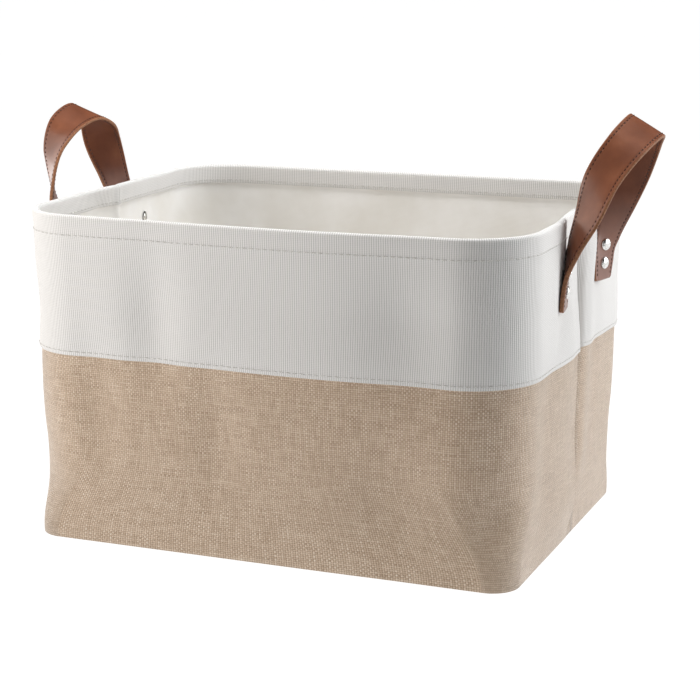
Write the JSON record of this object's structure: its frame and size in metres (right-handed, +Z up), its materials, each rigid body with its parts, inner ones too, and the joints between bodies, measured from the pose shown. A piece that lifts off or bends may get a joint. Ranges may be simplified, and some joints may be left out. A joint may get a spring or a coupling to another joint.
{
  "type": "fabric storage bin",
  "caption": "Open soft storage bin with a linen body, a white canvas cuff turned in at the rim, a lined inside and two riveted leather strap handles that swing.",
  "frame": {"origin": "middle of the underside of the base, on the floor", "axes": "+Z up; +X to the right along the long side, through the right handle; +Y to the back"},
  "size_m": [0.471, 0.3058, 0.3091],
  "materials": {
    "linen": "coarse plain weave, beige, matte",
    "canvas": "fine ribbed canvas, white, matte",
    "lining": "smooth coated cotton, off-white",
    "board": "grey-brown fibre board",
    "leather": "brown, semi-gloss, edge stitched",
    "nickel": "bright nickel"
  },
  "bodies": {
    "root": {"front_linen_panel": "linen", "back_linen_panel": "linen", "base_linen_panel": "linen", "front_canvas_cuff": "canvas", "back_canvas_cuff": "canvas", "front_lining_panel": "lining", "back_lining_panel": "lining", "base_lining_panel": "lining", "base_board": "board", "left_front_tab": "leather", "left_front_upper_rivet": "nickel", "left_front_upper_rivet_back": "nickel", "left_front_lower_rivet": "nickel", "left_front_lower_rivet_back": "nickel", "left_rear_tab": "leather", "left_rear_upper_rivet": "nickel", "left_rear_upper_rivet_back": "nickel", "left_rear_lower_rivet": "nickel", "left_rear_lower_rivet_back": "nickel", "right_front_tab": "leather", "right_front_upper_rivet": "nickel", "right_front_upper_rivet_back": "nickel", "right_front_lower_rivet": "nickel", "right_front_lower_rivet_back": "nickel", "right_rear_tab": "leather", "right_rear_upper_rivet": "nickel", "right_rear_upper_rivet_back": "nickel", "right_rear_lower_rivet": "nickel", "right_rear_lower_rivet_back": "nickel"},
    "left_handle": {"left_handle_loop": "leather"},
    "right_handle": {"right_handle_loop": "leather"}
  },
  "joints": [
    {"name": "left_handle_swing", "type": "hinge", "parent": "root", "child": "left_handle", "pos_m": [-0.19182, 0, 0.218], "axis": [0, -1, 0], "range_deg": [-6, 110], "stiffness_Nm_per_rad": 0.12, "springref_deg": -1.37},
    {"name": "right_handle_swing", "type": "hinge", "parent": "root", "child": "right_handle", "pos_m": [0.19182, 0, 0.218], "axis": [0, 1, 0], "range_deg": [-6, 100], "stiffness_Nm_per_rad": 0.12, "springref_deg": -1.7}
  ]
}
